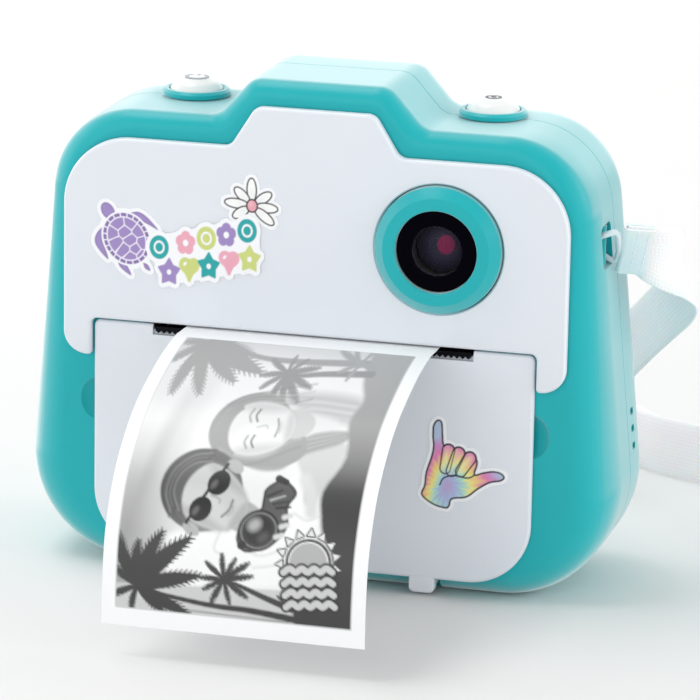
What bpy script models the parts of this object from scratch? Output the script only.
"""Children's instant-print camera, modelled as it comes apart on a bench.

Metres, +X to the viewer's right, +Y to the back, +Z up. The origin is the middle of the flat
underside, so the front panel's face lies FACE_DEPTH in front of it. Positions inside the
functions are (x, depth, z) in millimetres, with depth counted back from the panel's face.
"""
import math

import bmesh
import bpy
from mathutils import Matrix, Vector

MM = 0.001
FACE_DEPTH = 25.0          # the panel's face to the origin
GAP = 0.3                  # between touching pieces
WALL = 2.0                 # moulded shells

# Housing, front to back
SHELL_FRONT = 2.3
PARTING = 23.5
SHELL_BACK = 48.5
HUMP_TOP = 112.0
HUMP_HALF = 15.2
HUMP_FOOT = 23.0
SHOULDER = 103.2
UPPER_HALF = 59.3          # the side line, extended up to the shoulder
LOWER_HALF = 69.6          # the side line, extended down to the base
SIDE_LEAN = (LOWER_HALF - UPPER_HALF) / SHOULDER

# Front panel and paper door
PANEL_THICK = 1.9
PANEL_HALF = 56.6
PANEL_SHOULDER = 97.6
PANEL_TOP = 106.7
SLOT_Z = 56.8
LOBE_Z = 48.4
LOBE_INNER = 50.2
DOOR_FACE = 0.8
DOOR_BACK = 2.0
DOOR_HALF = 49.7
DOOR_TOP = 56.3
DOOR_BOTTOM = 4.0
NOTCH_HALF = 36.2
NOTCH_Z = 54.0
BAY_HALF = 44.0
BAY_LOW = 8.5
BAY_HIGH = 55.2
HINGE = (4.5, 4.0)         # depth, z of the door's hinge axis
HINGE_POCKET = 3.4         # half width of the pocket behind each hinge tab
HINGE_X = 25.6
TAB_WIDE = 5.8
THUMB = (48.5, 38.0, 4.8)  # x, z, radius of the finger dimples
THUMB_DEEP = 1.2

# Lens
LENS_X = 28.1
LENS_Z = 78.4
LENS_GAP_R = 14.27
RING_R = 14.0
LENS_HOLE_R = 12.8
GLASS_R = 8.8
MODULE_HALF = 8.5          # half width of the image sensor's board

# Top buttons
BUTTON_X = 33.7
BUTTON_DEPTH = 24.4
BUTTON_R = 5.85
COLLAR_R = 7.6
COLLAR_HOLE_R = 6.9

# Printer
PAPER_HALF = 28.5
PLATEN = (7.6, 49.2)       # depth, z of the platen's axis
PLATEN_R = 4.0
ROLL = (22.0, 19.4)
ROLL_R = 12.5
MODULE = 0.5
PLATEN_TEETH = 16
IDLER_TEETH = 24
PINION_TEETH = 10
IDLER = (17.2, 52.0)
GEAR_X = -39.0
GEAR_WIDE = 2.0

# Case screws and their posts
PILOT_R = 1.3
SCREW_HOLE_R = 1.4
SCREW_HEAD_R = 2.7
FRONT_POST_R = 3.0
REAR_POST_R = 3.6

# Back and left side
SOUND_SLOTS = (30.6, 34.5, 38.4)
PORT_DEPTHS = (27.0, 37.0)
PORT_HEIGHTS = (40.0, 64.0)
FLAP_GAP = 0.4
FLAP_THICK = 1.6
KEYPAD = (-33.0, 61.0)     # x, z of the centre key
KEY_STEP = 10.0
KEY_R = 3.4
CENTRE_KEY_R = 4.2
DISPLAY = (14.0, 52.0)     # x, z of its centre
DISPLAY_HALF = (28.0, 21.5)
SCREWS = ((-47.0, 20.0), (47.0, 20.0), (-44.0, 82.0), (44.0, 82.0))

# Strap
LUG = (60.3, 15.5, 77.5)   # the post, halfway up the pocket behind it
WINDOW_DEPTHS = (11.0, 20.0)
WINDOW_HEIGHTS = (73.8, 83.2)
POST_R = 1.2
CORD_R = 0.7
WEB_WIDE = 14.0
WEB_THICK = 1.2
# The loop of cord round the post, (x, depth, z)
LOOP_ROUTE = ((58.2, 15.5, 78.0), (59.3, 13.0, 80.0), (61.9, 12.3, 81.6), (64.2, 13.1, 82.0),
              (64.4, 15.3, 79.0), (63.9, 17.3, 76.4), (63.2, 18.2, 74.9), (61.4, 18.2, 75.0),
              (59.3, 17.8, 76.6))
# The webbing's middle line from the tab to the slider, with the way its width points there
UPRIGHT = (0.0, 0.0, 1.0)
WEB_STRAP = (((65.2, 16.4, 77.9), (0.09, -0.52, 0.84)), ((68.3, 17.5, 77.6), (0.06, -0.52, 0.84)),
             ((71.8, 20.0, 76.5), (0.0, -0.50, 0.86)), ((74.2, 24.0, 74.5), (-0.10, -0.42, 0.90)),
             ((75.7, 29.0, 71.5), (-0.20, -0.28, 0.94)), ((75.8, 35.0, 67.4), (-0.28, -0.10, 0.95)),
             ((73.7, 42.0, 62.8), (-0.30, 0.08, 0.95)), ((69.2, 50.0, 57.3), (-0.30, 0.18, 0.93)),
             ((63.9, 59.0, 51.0), (-0.28, 0.26, 0.92)), ((58.6, 68.0, 44.6), (-0.28, 0.28, 0.92)),
             ((53.4, 76.0, 38.4), (-0.28, 0.28, 0.92)), ((42.5, 88.0, 25.5), (-0.25, 0.25, 0.93)),
             ((32.5, 97.5, 15.0), (-0.12, 0.12, 0.98)), ((22.8, 106.0, 9.4), UPRIGHT),
             ((14.0, 113.3, 7.9), UPRIGHT), ((6.5, 122.0, 7.4), UPRIGHT),
             ((4.5, 132.0, 7.4), UPRIGHT), ((11.0, 138.5, 7.4), UPRIGHT),
             ((21.0, 135.5, 7.4), UPRIGHT), ((34.0, 127.0, 7.4), UPRIGHT),
             ((47.5, 117.5, 7.4), UPRIGHT), ((57.0, 110.8, 7.4), UPRIGHT),
             ((67.3, 106.3, 7.4), UPRIGHT), ((82.0, 101.5, 7.4), UPRIGHT),
             ((93.0, 102.0, 7.4), UPRIGHT), ((98.0, 107.5, 7.4), (0.0, 0.1, 1.0)),
             ((93.0, 112.7, 6.9), (0.1, 0.30, 0.94)), ((81.0, 113.4, 5.6), (0.25, 0.65, 0.70)),
             ((68.0, 116.8, 4.5), (0.34, 0.78, 0.50)), ((53.0, 124.8, 4.4), (0.40, 0.76, 0.48)),
             ((38.0, 135.8, 5.4), (0.30, 0.60, 0.72)), ((22.0, 146.0, 7.1), (0.10, 0.20, 0.97)),
             ((8.0, 149.5, 7.4), UPRIGHT), ((-4.0, 144.0, 7.4), UPRIGHT),
             ((-8.0, 132.0, 7.4), UPRIGHT), ((-4.5, 120.0, 7.4), UPRIGHT),
             ((3.5, 113.0, 7.8), UPRIGHT), ((12.5, 107.2, 8.8), UPRIGHT),
             ((19.0, 102.2, 9.4), UPRIGHT))
SLIDER = (20.6, 104.4, 9.9)
SLIDER_TURN = 140.5        # degrees from +X to the strap's heading
SLIDER_SIZE = (5.0, 9.4, 19.2)
SLIDER_SLOT = 2.45         # middle of each slot from the slider's middle

CAMERA = None
CUTTERS = None


# ---------------------------------------------------------------- scene helpers

def clear_scene():
    for thing in list(bpy.data.objects):
        bpy.data.objects.remove(thing, do_unlink=True)


def new_collection(name):
    group = bpy.data.collections.new(name)
    bpy.context.scene.collection.children.link(group)
    return group


def place(x, depth, z):
    return Vector((x * MM, (depth - FACE_DEPTH) * MM, z * MM))


def plastic(name, color, roughness=0.45, metallic=0.0):
    made = bpy.data.materials.get(name)
    if made is None:
        made = bpy.data.materials.new(name)
        made.use_nodes = True
        shader = made.node_tree.nodes["Principled BSDF"]
        shader.inputs["Base Color"].default_value = (*color, 1.0)
        shader.inputs["Roughness"].default_value = roughness
        shader.inputs["Metallic"].default_value = metallic
    return made


TEAL = (0.012, 0.46, 0.48)
WHITE = (0.76, 0.79, 0.84)
BLACK = (0.012, 0.012, 0.016)
STEEL = (0.55, 0.56, 0.58)
PAPER = (0.85, 0.85, 0.84)
GREEN = (0.02, 0.16, 0.07)


def keep(obj, color, roughness=0.45, metallic=0.0, smooth=True):
    """Put a finished piece in the camera's collection with a material of its own."""
    CAMERA.objects.link(obj)
    obj.data.materials.clear()
    obj.data.materials.append(plastic(obj.name, color, roughness, metallic))
    if smooth:
        obj.data.shade_smooth()
        obj.data.set_sharp_from_angle(angle=math.radians(35))
    return obj


def cutter(obj):
    CUTTERS.objects.link(obj)
    obj.hide_render = True
    obj.display_type = 'WIRE'
    return obj


def boolean(obj, tool, operation='DIFFERENCE', solver='EXACT'):
    change = obj.modifiers.new(tool.name, 'BOOLEAN')
    change.operation = operation
    change.solver = solver
    change.object = tool
    return obj


def from_bmesh(name, shape):
    mesh = bpy.data.meshes.new(name)
    bmesh.ops.recalc_face_normals(shape, faces=shape.faces)
    shape.to_mesh(mesh)
    shape.free()
    return bpy.data.objects.new(name, mesh)


def block(name, low, high):
    """A box between two corners."""
    shape = bmesh.new()
    bmesh.ops.create_cube(shape, size=1.0)
    start = place(*low)
    end = place(*high)
    for vert in shape.verts:
        vert.co = Vector((start[i] + (end[i] - start[i]) * (vert.co[i] + 0.5) for i in range(3)))
    return from_bmesh(name, shape)


AXES = {'X': (0, math.radians(90), 0), 'Y': (math.radians(-90), 0, 0), 'Z': (0, 0, 0)}


def rod(name, centre, radius, length, axis='X', sides=24):
    """A cylinder along one axis, its origin at its middle."""
    shape = bmesh.new()
    bmesh.ops.create_cone(shape, cap_ends=True, segments=sides, radius1=radius * MM,
                          radius2=radius * MM, depth=length * MM)
    obj = from_bmesh(name, shape)
    obj.location = place(*centre)
    obj.rotation_euler = AXES[axis]
    return obj


def turned(name, profile, centre, axis='Z', steps=32):
    """A profile of (radius, height) turned about an axis with a Screw modifier.

    The profile runs down the outer side. It closes on itself, or starts and ends at radius 0.
    """
    mesh = bpy.data.meshes.new(name)
    points = [(r * MM, 0.0, h * MM) for r, h in profile]
    count = len(points)
    edges = [(i, i + 1) for i in range(count - 1)]
    if profile[0][0] > 0:
        edges.append((count - 1, 0))
    mesh.from_pydata(points, edges, [])
    obj = bpy.data.objects.new(name, mesh)
    screw = obj.modifiers.new('turn', 'SCREW')
    screw.axis = 'Z'
    screw.steps = steps
    screw.render_steps = steps
    screw.use_merge_vertices = True
    screw.merge_threshold = 0.00001
    obj.location = place(*centre)
    obj.rotation_euler = AXES[axis]
    return obj


def plate(name, outline, depth, thick):
    """A flat outline of (x, z) points, filled and extruded backwards from its depth."""
    curve = bpy.data.curves.new(name, 'CURVE')
    curve.dimensions = '2D'
    curve.fill_mode = 'BOTH'
    curve.extrude = thick * MM / 2
    spline = curve.splines.new('POLY')
    spline.points.add(len(outline) - 1)
    for point, (x, z) in zip(spline.points, outline):
        point.co = (x * MM, z * MM, 0.0, 1.0)
    spline.use_cyclic_u = True
    flat = bpy.data.objects.new(name + '_outline', curve)
    bpy.context.scene.collection.objects.link(flat)
    bpy.context.view_layer.update()
    graph = bpy.context.evaluated_depsgraph_get()
    mesh = bpy.data.meshes.new_from_object(flat.evaluated_get(graph))
    shape = bmesh.new()
    shape.from_mesh(mesh)
    bmesh.ops.remove_doubles(shape, verts=shape.verts, dist=0.000001)
    shape.transform(flat.matrix_world)
    bpy.data.objects.remove(flat, do_unlink=True)
    obj = from_bmesh(name, shape)
    obj.location = place(0.0, depth + thick / 2, 0.0)
    obj.rotation_euler = (math.radians(90), 0, 0)
    return obj


# ---------------------------------------------------------------- outlines

def corner_arc(before, corner, after, radius, steps):
    """Points of the fillet that rounds a corner, from one edge to the other."""
    here = Vector(corner)
    back = (Vector(before) - here).normalized()
    ahead = (Vector(after) - here).normalized()
    half = back.angle(ahead) / 2
    reach = radius / math.tan(half)
    centre = here + (back + ahead).normalized() * radius / math.sin(half)
    first = here + back * reach - centre
    sweep = math.pi - 2 * half
    turn = math.copysign(sweep, first.cross(here + ahead * reach - centre))
    points = []
    for i in range(steps + 1):
        angle = turn * i / steps
        cos, sin = math.cos(angle), math.sin(angle)
        points.append((centre.x + first.x * cos - first.y * sin,
                       centre.y + first.x * sin + first.y * cos))
    return points


def rounded(corners, steps):
    """A closed outline through (x, z, radius) corners, each rounded in the same step count."""
    points = []
    count = len(corners)
    for i, (x, z, radius) in enumerate(corners):
        before = corners[i - 1][:2]
        after = corners[(i + 1) % count][:2]
        points += corner_arc(before, (x, z), after, radius, steps)
    return points


def mirrored(right_half):
    """Right-half corners, top to bottom, continued up the left side."""
    return right_half + [(-x, z, r) for x, z, r in reversed(right_half)]


def ease(radius, distance):
    """How far an edge rounded to a radius stands in at a distance from its face."""
    if distance >= radius:
        return 0.0
    rest = radius - max(distance, 0.0)
    return radius - math.sqrt(max(radius * radius - rest * rest, 0.0))


def body_section(depth, wall=0.0):
    """The housing's outline at a depth; a wall gives the cavity's outline instead."""
    ahead = depth - SHELL_FRONT - wall
    behind = SHELL_BACK - wall - depth

    def inset(front_radius, back_radius):
        front = ease(max(front_radius - wall, 1.0), ahead)
        back = ease(max(back_radius - wall, 1.0), behind)
        return max(front, back) + wall

    hump = inset(3.8, 17.0)
    upper = inset(4.5, 17.0)
    lower = inset(12.0, 17.0)
    base = inset(8.0, 12.0)
    half = [(HUMP_HALF - 0.45 * hump, HUMP_TOP - hump, max(5.0 - 0.5 * hump, 1.2)),
            (HUMP_FOOT - 0.6 * hump, SHOULDER - hump, 5.0),
            (UPPER_HALF - upper, SHOULDER - hump, max(19.0 - 0.75 * upper, 5.0)),
            (LOWER_HALF - lower, base, max(25.0 - 0.75 * lower, 10.0))]
    return rounded(mirrored(half), 5)


def loft(name, rings):
    """A closed skin over rings of equal point counts, capped at both ends."""
    shape = bmesh.new()
    loops = [[shape.verts.new(place(x, depth, z)) for x, z in ring] for depth, ring in rings]
    for first, second in zip(loops, loops[1:]):
        for i in range(len(first)):
            shape.faces.new((first[i - 1], first[i], second[i], second[i - 1]))
    shape.faces.new(loops[0])
    shape.faces.new(reversed(loops[-1]))
    return from_bmesh(name, shape)


# ---------------------------------------------------------------- housing

def bosses(shell, start, end, radius):
    for i, (x, z) in enumerate(SCREWS):
        name = f'{shell.name}_boss_{i}'
        tool = rod(name, (x, (start + end) / 2, z), radius, end - start, 'Y', 16)
        boolean(shell, cutter(tool), 'UNION')


def drill(shell, label, centre, radius, length, axis='Y', sides=24):
    tool = rod(f'{shell.name}_{label}', centre, radius, length, axis, sides)
    boolean(shell, cutter(tool))


def slice_box(shell, label, low, high):
    boolean(shell, cutter(block(f'{shell.name}_{label}', low, high)))


def make_front_shell():
    outer = (0.0, 0.25, 0.9, 2.0, 3.8, 6.5, 10.0, 12.0)
    rings = [(SHELL_FRONT + t, body_section(SHELL_FRONT + t)) for t in outer]
    edge = PARTING - GAP / 2
    rings.append((edge, body_section(edge)))
    inner = (edge, 14.3, 10.0, 6.5, SHELL_FRONT + WALL + 0.5, SHELL_FRONT + WALL)
    rings += [(depth, body_section(depth, WALL)) for depth in inner]
    shell = loft('front_shell', rings)
    bosses(shell, SHELL_FRONT + 1.2, edge, FRONT_POST_R)
    slice_box(shell, 'bay', (-BAY_HALF, 0.0, BAY_LOW), (BAY_HALF, 7.0, BAY_HIGH))
    slice_box(shell, 'web_slot', (-37.5, 0.0, 50.0), (37.5, 7.0, 57.6))
    low, high = WINDOW_HEIGHTS
    slice_box(shell, 'strap_window', (56.0, WINDOW_DEPTHS[0], low), (75.0, WINDOW_DEPTHS[1], high))
    for side in (-1, 1):
        x = side * HINGE_X
        slice_box(shell, f'hinge_{side}', (x - HINGE_POCKET, 0.0, -2.0),
                  (x + HINGE_POCKET, 9.0, BAY_LOW + 1.0))
        drill(shell, f'thumb_{side}', (side * THUMB[0], SHELL_FRONT, THUMB[1]), THUMB[2],
              2 * THUMB_DEEP)
        drill(shell, f'collar_{side}', (side * BUTTON_X, BUTTON_DEPTH, SHOULDER), COLLAR_HOLE_R,
              12.0, 'Z', 32)
    drill(shell, 'lens', (LENS_X, 3.0, LENS_Z), LENS_HOLE_R, 6.0, 'Y', 40)
    for i, (x, z) in enumerate(SCREWS):
        drill(shell, f'pilot_{i}', (x, 16.5, z), PILOT_R, 16.0, 'Y', 12)
    return keep(shell, TEAL)


def make_rear_shell():
    edge = PARTING + GAP / 2
    inner = (SHELL_BACK - WALL, 44.0, 40.0, 35.5, 31.5, edge)
    outer = (edge, 31.5, 35.5, 39.5, 43.0, 45.5, 47.3, 48.2, SHELL_BACK)
    rings = [(depth, body_section(depth, WALL)) for depth in inner]
    rings += [(depth, body_section(depth)) for depth in outer]
    shell = loft('rear_shell', rings)
    bosses(shell, edge, SHELL_BACK - WALL + 0.3, REAR_POST_R)
    for side in (-1, 1):
        drill(shell, f'collar_{side}', (side * BUTTON_X, BUTTON_DEPTH, SHOULDER), COLLAR_HOLE_R,
              12.0, 'Z', 32)
    x, z = DISPLAY
    wide, tall = DISPLAY_HALF
    slice_box(shell, 'display', (x - wide, 44.0, z - tall), (x + wide, 50.0, z + tall))
    for name, (key_x, key_z), radius in key_layout():
        drill(shell, name, (key_x, 47.0, key_z), radius + GAP, 6.0)
    for i, slot_z in enumerate(SOUND_SLOTS):
        slice_box(shell, f'sound_{i}', (58.0, 27.0, slot_z - 0.8), (72.0, 29.6, slot_z + 0.8))
    near, far = PORT_DEPTHS
    low, high = PORT_HEIGHTS
    slice_box(shell, 'port', (-72.0, near, low), (-58.0, far, high))
    for i, (x, z) in enumerate(SCREWS):
        drill(shell, f'screw_head_{i}', (x, 40.0, z), SCREW_HEAD_R, 24.0 - 2 * GAP, 'Y', 16)
        drill(shell, f'screw_hole_{i}', (x, 26.0, z), SCREW_HOLE_R, 8.0, 'Y', 12)
    return keep(shell, TEAL)


def make_front_panel():
    half = [(13.2, PANEL_TOP, 3.0), (18.9, PANEL_SHOULDER, 3.0),
            (PANEL_HALF, PANEL_SHOULDER, 15.0), (PANEL_HALF, LOBE_Z, 5.3),
            (LOBE_INNER, LOBE_Z, 0.8), (LOBE_INNER, SLOT_Z, 1.4)]
    panel = plate('front_panel', rounded(mirrored(half), 6), 0.0, PANEL_THICK)
    hole = rod('front_panel_lens', (LENS_X, 1.0, LENS_Z), LENS_GAP_R, 6.0, 'Y', 48)
    boolean(panel, cutter(hole))
    return keep(panel, WHITE, 0.35)


# ---------------------------------------------------------------- door

def make_paper_door():
    half = [(NOTCH_HALF, DOOR_TOP, 0.4), (DOOR_HALF, DOOR_TOP, 1.4),
            (DOOR_HALF, DOOR_BOTTOM, 14.0)]
    left = [(-x, z, r) for x, z, r in reversed(half)]
    notch = [(-NOTCH_HALF, NOTCH_Z, 0.4), (NOTCH_HALF, NOTCH_Z, 0.4)]
    thick = DOOR_BACK - DOOR_FACE
    door = plate('paper_door', rounded(half + left + notch, 6), DOOR_FACE, thick)
    inside = DOOR_BACK - 0.4
    for side in (-1, 1):
        x = side * HINGE_X
        wide = TAB_WIDE / 2
        parts = [('tab', (x - wide, DOOR_FACE + 0.15, 0.7), (x + wide, 3.2, 6.4)),
                 ('foot', (x - wide, 1.2, 2.3), (x + wide, HINGE[0], 5.7))]
        reach = sorted((side * 31.6, side * 33.4))
        parts.append(('cheek', (reach[0], inside, 43.5), (reach[1], 10.2, 52.4)))
        reach = sorted((side * 41.8, side * 43.2))
        parts.append(('rail', (reach[0], inside, 10.5), (reach[1], 6.4, 53.0)))
        for label, low, high in parts:
            boolean(door, cutter(block(f'door_{label}_{side}', low, high)), 'UNION')
        knuckle = rod(f'door_knuckle_{side}', (x, *HINGE), 1.85, TAB_WIDE, 'X', 20)
        boolean(door, cutter(knuckle), 'UNION')
        pin = rod(f'door_pin_hole_{side}', (x, *HINGE), 1.0, 9.0, 'X', 16)
        boolean(door, cutter(pin))
        shaft = rod(f'door_shaft_hole_{side}', (side * 32.5, *PLATEN), 1.5, 4.0, 'X', 16)
        boolean(door, cutter(shaft))
    set_origin(door, place(0.0, *HINGE))
    return keep(door, WHITE, 0.35)


def set_origin(obj, point):
    """Move an object's origin to a point and leave its shape where it is."""
    bpy.context.view_layer.update()
    shift = obj.matrix_basis.inverted() @ point
    obj.data.transform(Matrix.Translation(-shift))
    obj.location = point


def make_hinge_pins():
    for label, side in (('left', -1), ('right', 1)):
        pin = rod(f'hinge_pin_{label}', (side * HINGE_X, *HINGE), 0.75, 6.6, 'X', 12)
        keep(pin, STEEL, 0.3, 1.0)


def make_tear_bar():
    """A strip that fills the door's notch, with small teeth along its lower edge."""
    half = 35.6
    pitch = 1.27
    top, root, tip = 55.85, 54.95, 54.3
    teeth = int(2 * half / pitch)
    width = 2 * half / teeth
    points = [(-half, top), (half, top)]
    for i in range(teeth):
        x = half - i * width
        points += [(x, root), (x - width / 2, tip)]
    points.append((-half, root))
    bar = plate('tear_bar', points, 1.1, 0.7)
    flange = block('tear_bar_flange', (-30.9, 1.6, 55.1), (30.9, 4.6, 55.75))
    boolean(bar, cutter(flange), 'UNION', 'MANIFOLD')
    return keep(bar, BLACK, 0.3, 0.6)


# ---------------------------------------------------------------- lens

def make_lens():
    centre = (LENS_X, 0.0, LENS_Z)

    def front_turned(name, profile, steps=32):
        flipped = [(r, -h) for r, h in reversed(profile)]
        return turned(name, flipped, centre, 'Y', steps)

    ring = [(12.0, 3.0), (12.8, 2.8), (13.5, 2.2), (RING_R, 1.2), (RING_R, -2.0), (12.5, -2.0),
            (12.5, -6.0), (GLASS_R + GAP, -6.0), (GLASS_R + GAP, 2.6), (9.4, 3.0)]
    keep(front_turned('lens_ring', ring), TEAL, 0.35)
    glass = [(0.0, 1.9), (6.0, 1.8), (GLASS_R - 0.2, 1.6), (GLASS_R, 1.4), (GLASS_R, 0.7),
             (0.0, 0.7)]
    keep(front_turned('lens_window', glass, 32), BLACK, 0.05)
    bezel = [(GLASS_R, 0.4), (GLASS_R, -1.0), (5.4, -1.0), (5.4, 0.0), (5.8, 0.4)]
    keep(front_turned('lens_bezel', bezel, 32), BLACK, 0.2)
    barrel = [(8.4, -1.3), (8.4, -9.8), (6.3, -9.8), (6.3, -1.3)]
    keep(front_turned('lens_barrel', barrel, 24), BLACK, 0.5)
    element = [(0.0, -1.6), (2.4, -1.85), (4.4, -2.6), (6.0, -3.9), (6.0, -5.0), (0.0, -5.0)]
    keep(front_turned('lens_element', element, 24), (0.05, 0.04, 0.08), 0.05)
    module = block('camera_module', (LENS_X - MODULE_HALF, 10.1, LENS_Z - MODULE_HALF),
                   (LENS_X + MODULE_HALF, 15.0, LENS_Z + MODULE_HALF))
    keep(module, GREEN, 0.5)


# ---------------------------------------------------------------- top buttons

def make_top_buttons():
    collar = [(6.9, 105.0), (COLLAR_R, 104.6), (COLLAR_R, 103.5), (6.6, 103.5), (6.6, 99.5),
              (6.15, 99.5), (6.15, 105.0)]
    dome = [(0.0, 107.5), (2.4, 107.3), (4.3, 106.6), (5.4, 105.7), (BUTTON_R, 104.7),
            (BUTTON_R, 101.2), (2.0, 101.2), (2.0, 99.0), (0.0, 99.0)]
    for label, button, x in (('left', 'power_button', -BUTTON_X),
                             ('right', 'shutter_button', BUTTON_X)):
        centre = (x, BUTTON_DEPTH, 0.0)
        keep(turned(f'collar_{label}', collar, centre, steps=24), TEAL)
        keep(turned(button, dome, centre, steps=20), WHITE, 0.4)
        body = block(f'switch_{label}', (x - 3, BUTTON_DEPTH - 3, 95.3),
                     (x + 3, BUTTON_DEPTH + 3, 97.8))
        keep(body, BLACK)
    keep(block('switch_board', (-40.0, 20.0, 93.4), (40.0, 29.0, 95.0)), GREEN)


# ---------------------------------------------------------------- printer

def gear_outline(teeth, phase):
    """Trapezoid teeth on a pitch circle, the first tooth's middle at an angle of phase."""
    pitch = MODULE * teeth / 2
    root = pitch - 1.2 * MODULE
    tip = pitch + 0.85 * MODULE
    step = 2 * math.pi / teeth
    points = []
    for i in range(teeth):
        middle = phase + i * step
        for share, radius in ((-0.30, root), (-0.13, tip), (0.13, tip), (0.30, root)):
            angle = middle + share * step
            points.append((radius * math.cos(angle), radius * math.sin(angle)))
    return points


def gear(name, centre, teeth, phase, bore):
    """A spur gear turning about X, its outline in the depth and z directions."""
    wheel = plate(name, gear_outline(teeth, phase), 0.0, GEAR_WIDE)
    wheel.location = place(GEAR_X, *centre)
    wheel.rotation_euler = (math.radians(90), 0, math.radians(90))
    if bore:
        hole = rod(f'{name}_bore', (GEAR_X, *centre), bore, 6.0, 'X', 16)
        boolean(wheel, cutter(hole))
    return keep(wheel, WHITE, 0.5, smooth=False)


def mesh_phase(angle, teeth, phase, next_teeth):
    """Phase that puts a gap of the next gear opposite a tooth, across a centre line."""
    lead = (angle - phase) * teeth
    return angle + math.pi + (lead + math.pi) / next_teeth


def pinion_centre():
    reach = MODULE * (IDLER_TEETH + PINION_TEETH) / 2
    drop = 4.36
    return (IDLER[0] + math.sqrt(reach * reach - drop * drop), IDLER[1] - drop)


def make_gears():
    pinion = pinion_centre()
    first = math.atan2(IDLER[1] - PLATEN[1], IDLER[0] - PLATEN[0])
    second = math.atan2(pinion[1] - IDLER[1], pinion[0] - IDLER[0])
    idler_phase = mesh_phase(first, PLATEN_TEETH, 0.0, IDLER_TEETH)
    pinion_phase = mesh_phase(second, IDLER_TEETH, idler_phase, PINION_TEETH)
    gear('platen_gear', PLATEN, PLATEN_TEETH, 0.0, 1.5)
    gear('idler_gear', IDLER, IDLER_TEETH, idler_phase, 1.3)
    gear('motor_pinion', pinion, PINION_TEETH, pinion_phase, 0.0)
    keep(rod('idler_pin', (-38.6, *IDLER), 1.0, 3.0, 'X', 12), STEEL, 0.3, 1.0)
    motor = rod('feed_motor', (-25.2, *pinion), 7.2, 20.0, 'X', 28)
    boss = rod('feed_motor_boss', (-36.4, *pinion), 1.3, 3.0, 'X', 12)
    boolean(motor, cutter(boss), 'UNION')
    keep(motor, STEEL, 0.35, 0.9)


def make_platen():
    shaft = rod('platen_shaft', (-2.4, *PLATEN), 1.2, 76.0, 'X', 16)
    keep(shaft, STEEL, 0.25, 1.0)
    sleeve = [(PLATEN_R, PAPER_HALF + 1), (PLATEN_R, -PAPER_HALF - 1), (1.5, -PAPER_HALF - 1),
              (1.5, PAPER_HALF + 1)]
    keep(turned('platen_sleeve', sleeve, (0.0, *PLATEN), 'X', 24), BLACK, 0.8)


def make_print_head():
    keep(block('print_head', (-29.5, 12.25, 44.5), (29.5, 13.6, 53.0)), BLACK, 0.3)
    keep(block('head_plate', (-30.5, 13.9, 43.5), (30.5, 15.6, 53.5)), STEEL, 0.4, 0.9)


def make_printer_frame():
    frame = block('printer_frame', (-37.0, 12.0, 40.0), (37.0, 34.2, 58.0))
    slice_box(frame, 'inside', (-35.8, 10.0, 38.0), (35.8, 33.0, 60.0))
    pinion = pinion_centre()
    drill(frame, 'motor_hole', (-36.4, *pinion), 1.6, 3.0, 'X', 12)
    keep(frame, STEEL, 0.4, 0.9)


def make_paper_bin():
    bin_box = block('paper_bin', (-31.5, 8.0, 5.2), (31.5, 36.0, 38.0))
    slice_box(bin_box, 'inside', (-30.2, 0.0, 6.4), (30.2, 34.8, 42.0))
    keep(bin_box, BLACK, 0.5)


def make_roll():
    half = PAPER_HALF
    roll = [(ROLL_R, half), (ROLL_R, -half), (6.3, -half), (6.3, half)]
    keep(turned('paper_roll', roll, (0.0, *ROLL), 'X', 32), PAPER, 0.8)
    core = [(6.0, half), (6.0, -half), (4.8, -half), (4.8, half)]
    keep(turned('roll_core', core, (0.0, *ROLL), 'X', 20), WHITE, 0.5)


def smooth_path(points, steps):
    """A Catmull-Rom curve through hand-chosen points."""
    padded = [points[0] * 2 - points[1], *points, points[-1] * 2 - points[-2]]
    path = []
    for a, b, c, d in zip(padded, padded[1:], padded[2:], padded[3:]):
        for i in range(steps):
            t = i / steps
            path.append(0.5 * (2 * b + (c - a) * t + (2 * a - 5 * b + 4 * c - d) * t ** 2
                               + (3 * b - a - 3 * c + d) * t ** 3))
    path.append(points[-1])
    return path


def ribbon(name, path, sides, thick):
    """A strip of even thickness along a path; sides are half-width vectors at its points."""
    shape = bmesh.new()
    rings = []
    count = len(path)
    for i, (point, side) in enumerate(zip(path, sides)):
        along = path[min(i + 1, count - 1)] - path[max(i - 1, 0)]
        up = along.cross(side).normalized() * thick / 2
        corners = (point + side + up, point - side + up, point - side - up, point + side - up)
        rings.append([shape.verts.new(place(*corner)) for corner in corners])
    for first, second in zip(rings, rings[1:]):
        for i in range(4):
            shape.faces.new((first[i - 1], first[i], second[i], second[i - 1]))
    shape.faces.new(rings[0])
    shape.faces.new(reversed(rings[-1]))
    return from_bmesh(name, shape)


WEB_ROUTE = ((9.3, 21.0), (10.2, 32.0), (11.7, 41.0), (11.93, 47.0), (11.9, 50.6), (10.4, 54.2),
             (7.0, 56.0), (3.4, 56.4), (0.2, 56.4))
PRINT_ROUTE = ((-0.4, 56.5), (-9.0, 56.3), (-21.5, 53.7), (-37.0, 47.9), (-49.3, 38.5),
               (-55.9, 27.5), (-58.1, 16.5), (-58.4, 6.8))


def make_paper():
    across = Vector((PAPER_HALF, 0.0, 0.0))
    web = smooth_path([Vector((0.0, y, z)) for y, z in WEB_ROUTE], 3)
    keep(ribbon('paper_web', web, [across] * len(web), 0.1), PAPER, 0.7)
    strip = smooth_path([Vector((0.0, y, z)) for y, z in PRINT_ROUTE], 4)
    sheet = ribbon('photo_print', strip, [across] * len(strip), 0.3)
    set_origin(sheet, place(0.0, *PRINT_ROUTE[0]))
    keep(sheet, PAPER, 0.5)


# ---------------------------------------------------------------- electronics

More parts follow.
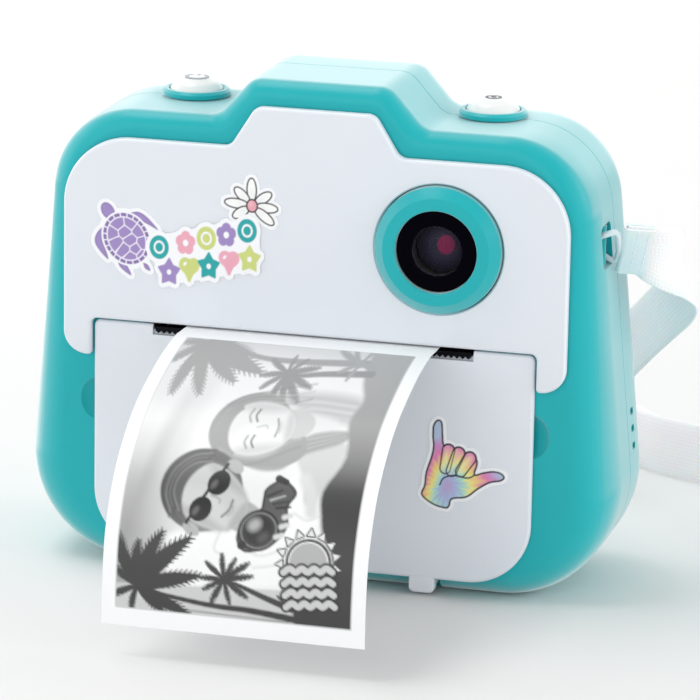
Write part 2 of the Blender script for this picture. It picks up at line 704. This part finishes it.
def make_electronics():
    keep(block('battery', (-39.8, 6.0, 60.5), (-7.0, 13.0, 92.0)), STEEL, 0.4)
    keep(block('main_board', (-38.0, 36.4, 42.0), (40.0, 38.0, 78.0)), GREEN)
    speaker = turned('speaker', [(0.0, 62.2), (7.0, 62.2), (8.0, 61.4), (8.0, 59.4), (5.0, 59.4),
                                 (5.0, 57.6), (0.0, 57.6)], (0.0, 28.2, 34.5), 'X', 24)
    keep(speaker, BLACK, 0.5)
    x, z = DISPLAY
    wide, tall = DISPLAY_HALF
    panel = block('display_panel', (x - wide, 41.6, z - tall), (x + wide, 45.0, z + tall))
    keep(panel, BLACK, 0.3)
    wide, tall = wide - GAP, tall - GAP
    corners = [(x - wide, z + tall, 3.0), (x + wide, z + tall, 3.0), (x + wide, z - tall, 3.0),
               (x - wide, z - tall, 3.0)]
    window = plate('display_window', rounded(corners, 4), 46.7, 1.6)
    keep(window, BLACK, 0.08)
    keep(block('usb_socket', (-61.4, 29.6, 43.0), (-54.0, 33.0, 52.0)), STEEL, 0.3, 1.0)
    keep(block('memory_card', (-60.6, 30.2, 54.0), (-47.0, 31.2, 62.5)), BLACK)


# ---------------------------------------------------------------- back

def key_layout():
    """Name, (x, z) and cap radius of every key on the back."""
    x, z = KEYPAD
    return [('centre_key', (x, z), CENTRE_KEY_R),
            ('up_key', (x, z + KEY_STEP), KEY_R),
            ('down_key', (x, z - KEY_STEP), KEY_R),
            ('left_key', (x + KEY_STEP, z), KEY_R),
            ('right_key', (x - KEY_STEP, z), KEY_R),
            ('menu_key', (x + 6.0, z - 22.0), KEY_R),
            ('play_key', (x - 6.0, z - 22.0), KEY_R)]


def make_keys():
    for name, (x, z), radius in key_layout():
        profile = [(0.0, 49.7), (radius - 1.0, 49.6), (radius, 48.9), (radius, 46.2),
                   (radius + 0.7, 46.2), (radius + 0.7, 45.2), (0.0, 45.2)]
        keep(turned(name, profile, (x, 0.0, z), 'Y', 16), WHITE, 0.4)
    x, z = KEYPAD
    board = block('key_board', (x - 14.0, 41.6, z - 27.0), (x + 14.0, 43.0, z + 14.0))
    keep(board, GREEN)


def make_port_cover():
    """A flap flush with the leaning left side, hinged along its lower edge."""
    low = PORT_HEIGHTS[0] + FLAP_GAP
    high = PORT_HEIGHTS[1] - FLAP_GAP

    def side_at(z):
        return -(LOWER_HALF - SIDE_LEAN * z)

    points = [(side_at(low), low), (side_at(high), high), (side_at(high) + FLAP_THICK, high),
              (side_at(low) + FLAP_THICK, low)]
    near, far = PORT_DEPTHS
    flap = plate('port_cover', points, near + FLAP_GAP, far - near - 2 * FLAP_GAP)
    set_origin(flap, place(*port_hinge()))
    return keep(flap, TEAL, 0.6)


def port_hinge():
    z = 40.6
    return (-(LOWER_HALF - SIDE_LEAN * z), 32.0, z)


def make_screws():
    profile = [(0.0, 30.3), (1.6, 30.3), (2.3, 29.6), (2.3, 28.5), (1.05, 28.5), (1.05, 10.0),
               (0.0, 9.2)]
    for i, (x, z) in enumerate(SCREWS):
        screw = turned(f'screw_{i + 1}', profile, (x, 0.0, z), 'Y', 12)
        keep(screw, STEEL, 0.3, 1.0)


# ---------------------------------------------------------------- strap

def make_strap_lug():
    x, depth, z = LUG
    anchor = block('strap_anchor', (x - 5.3, depth - 5.6, z - 8.4), (x - 2.1, depth + 6.0, z + 8.0))
    slice_box(anchor, 'pocket', (x - 3.9, depth - 4.2, z - 6.8), (x + 4.0, depth + 4.4, z + 6.6))
    keep(anchor, TEAL)
    low, high = WINDOW_HEIGHTS
    middle = (x, depth, (low + high) / 2)
    keep(rod('strap_post', middle, POST_R, high - low - 2 * GAP, 'Z', 16), TEAL)


def make_strap_cord():
    """A closed loop of cord round the lug's post, which the webbing is sewn to."""
    curve = bpy.data.curves.new('strap_cord', 'CURVE')
    curve.dimensions = '3D'
    curve.bevel_depth = CORD_R * MM
    curve.bevel_resolution = 1
    closed = [Vector(p) for p in LOOP_ROUTE]
    path = smooth_path([closed[-1], *closed, closed[0]], 3)[3:-3]
    spline = curve.splines.new('POLY')
    spline.points.add(len(path) - 1)
    for point, at in zip(spline.points, path):
        point.co = (*place(*at), 1.0)
    spline.use_cyclic_u = True
    keep(bpy.data.objects.new('strap_cord', curve), WHITE, 0.8, smooth=False)


def make_webbing():
    """The hand strap: one length of flat webbing, from the cord and back to it."""
    middle = smooth_path([Vector(point) for point, _ in WEB_STRAP], 2)
    turns = smooth_path([Vector(way) for _, way in WEB_STRAP], 2)
    sides = []
    for i, way in enumerate(turns):
        along = middle[min(i + 1, len(middle) - 1)] - middle[max(i - 1, 0)]
        across = way - along * way.dot(along) / along.length_squared
        sides.append(across.normalized() * WEB_WIDE / 2)
    keep(ribbon('strap_webbing', middle, sides, WEB_THICK), WHITE, 0.85)


def make_slider():
    """The plastic slider that closes the loop, with a slot for each run of webbing."""
    def upright_box(name, size, across):
        box = block(name, (0.0, 0.0, 0.0), size)
        turn = Matrix.Rotation(math.radians(SLIDER_TURN), 4, 'Z')
        middle = (place(0.0, 0.0, 0.0) + place(*size)) / 2
        offset = Vector((0.0, across * MM, 0.0))
        box.data.transform(Matrix.Translation(place(*SLIDER)) @ turn
                           @ Matrix.Translation(offset - middle))
        return box

    slider = upright_box('strap_slider', SLIDER_SIZE, 0.0)
    slot = (SLIDER_SIZE[0] + 4.0, WEB_THICK + 1.6, WEB_WIDE + 2.6)
    for side in (-1, 1):
        hole = upright_box(f'slider_slot_{side}', slot, side * SLIDER_SLOT)
        boolean(slider, cutter(hole))
    keep(slider, WHITE, 0.5)


def build():
    make_front_shell()
    make_rear_shell()
    make_front_panel()
    make_paper_door()
    make_hinge_pins()
    make_tear_bar()
    make_lens()
    make_top_buttons()
    make_gears()
    make_platen()
    make_print_head()
    make_printer_frame()
    make_paper_bin()
    make_roll()
    make_paper()
    make_electronics()
    make_keys()
    make_port_cover()
    make_screws()
    make_strap_lug()
    make_strap_cord()
    make_webbing()
    make_slider()


clear_scene()
CAMERA = new_collection('instant_print_camera')
CUTTERS = new_collection('cutters')
build()
